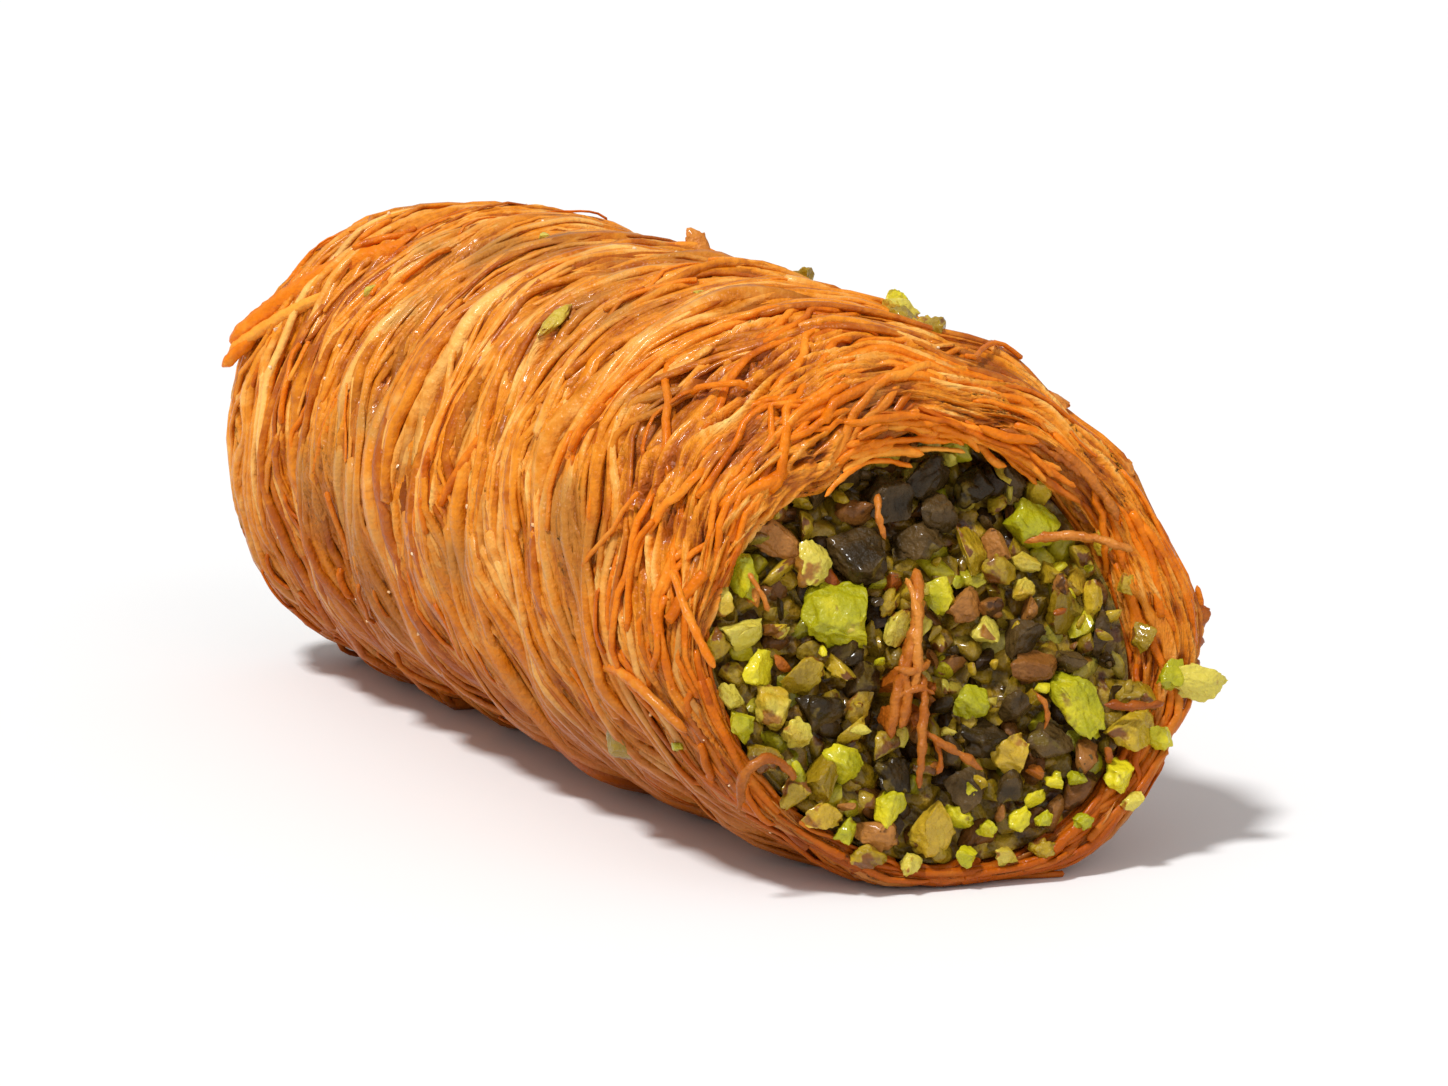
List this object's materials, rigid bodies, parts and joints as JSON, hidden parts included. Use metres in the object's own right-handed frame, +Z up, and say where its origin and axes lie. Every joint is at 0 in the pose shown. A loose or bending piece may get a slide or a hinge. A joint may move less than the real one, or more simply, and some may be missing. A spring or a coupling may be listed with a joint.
{
  "type": "kadayif roll",
  "caption": "Roll of wound shredded pastry round a core of chopped pistachio, cut slantwise at its shown end and resting on its side.",
  "frame": {"origin": "bottom centre of the roll's box, in the plane it rests on", "axes": "+X along the roll towards the shown cut end, +Z up"},
  "size_m": [0.0828, 0.0382, 0.0364],
  "materials": {
    "pastry": "golden brown baked pastry strands, glossy with syrup",
    "filling": "chopped green pistachio, moist with syrup"
  },
  "bodies": {
    "root": {"pastry": "pastry", "pistachio_filling": "filling"}
  },
  "joints": []
}
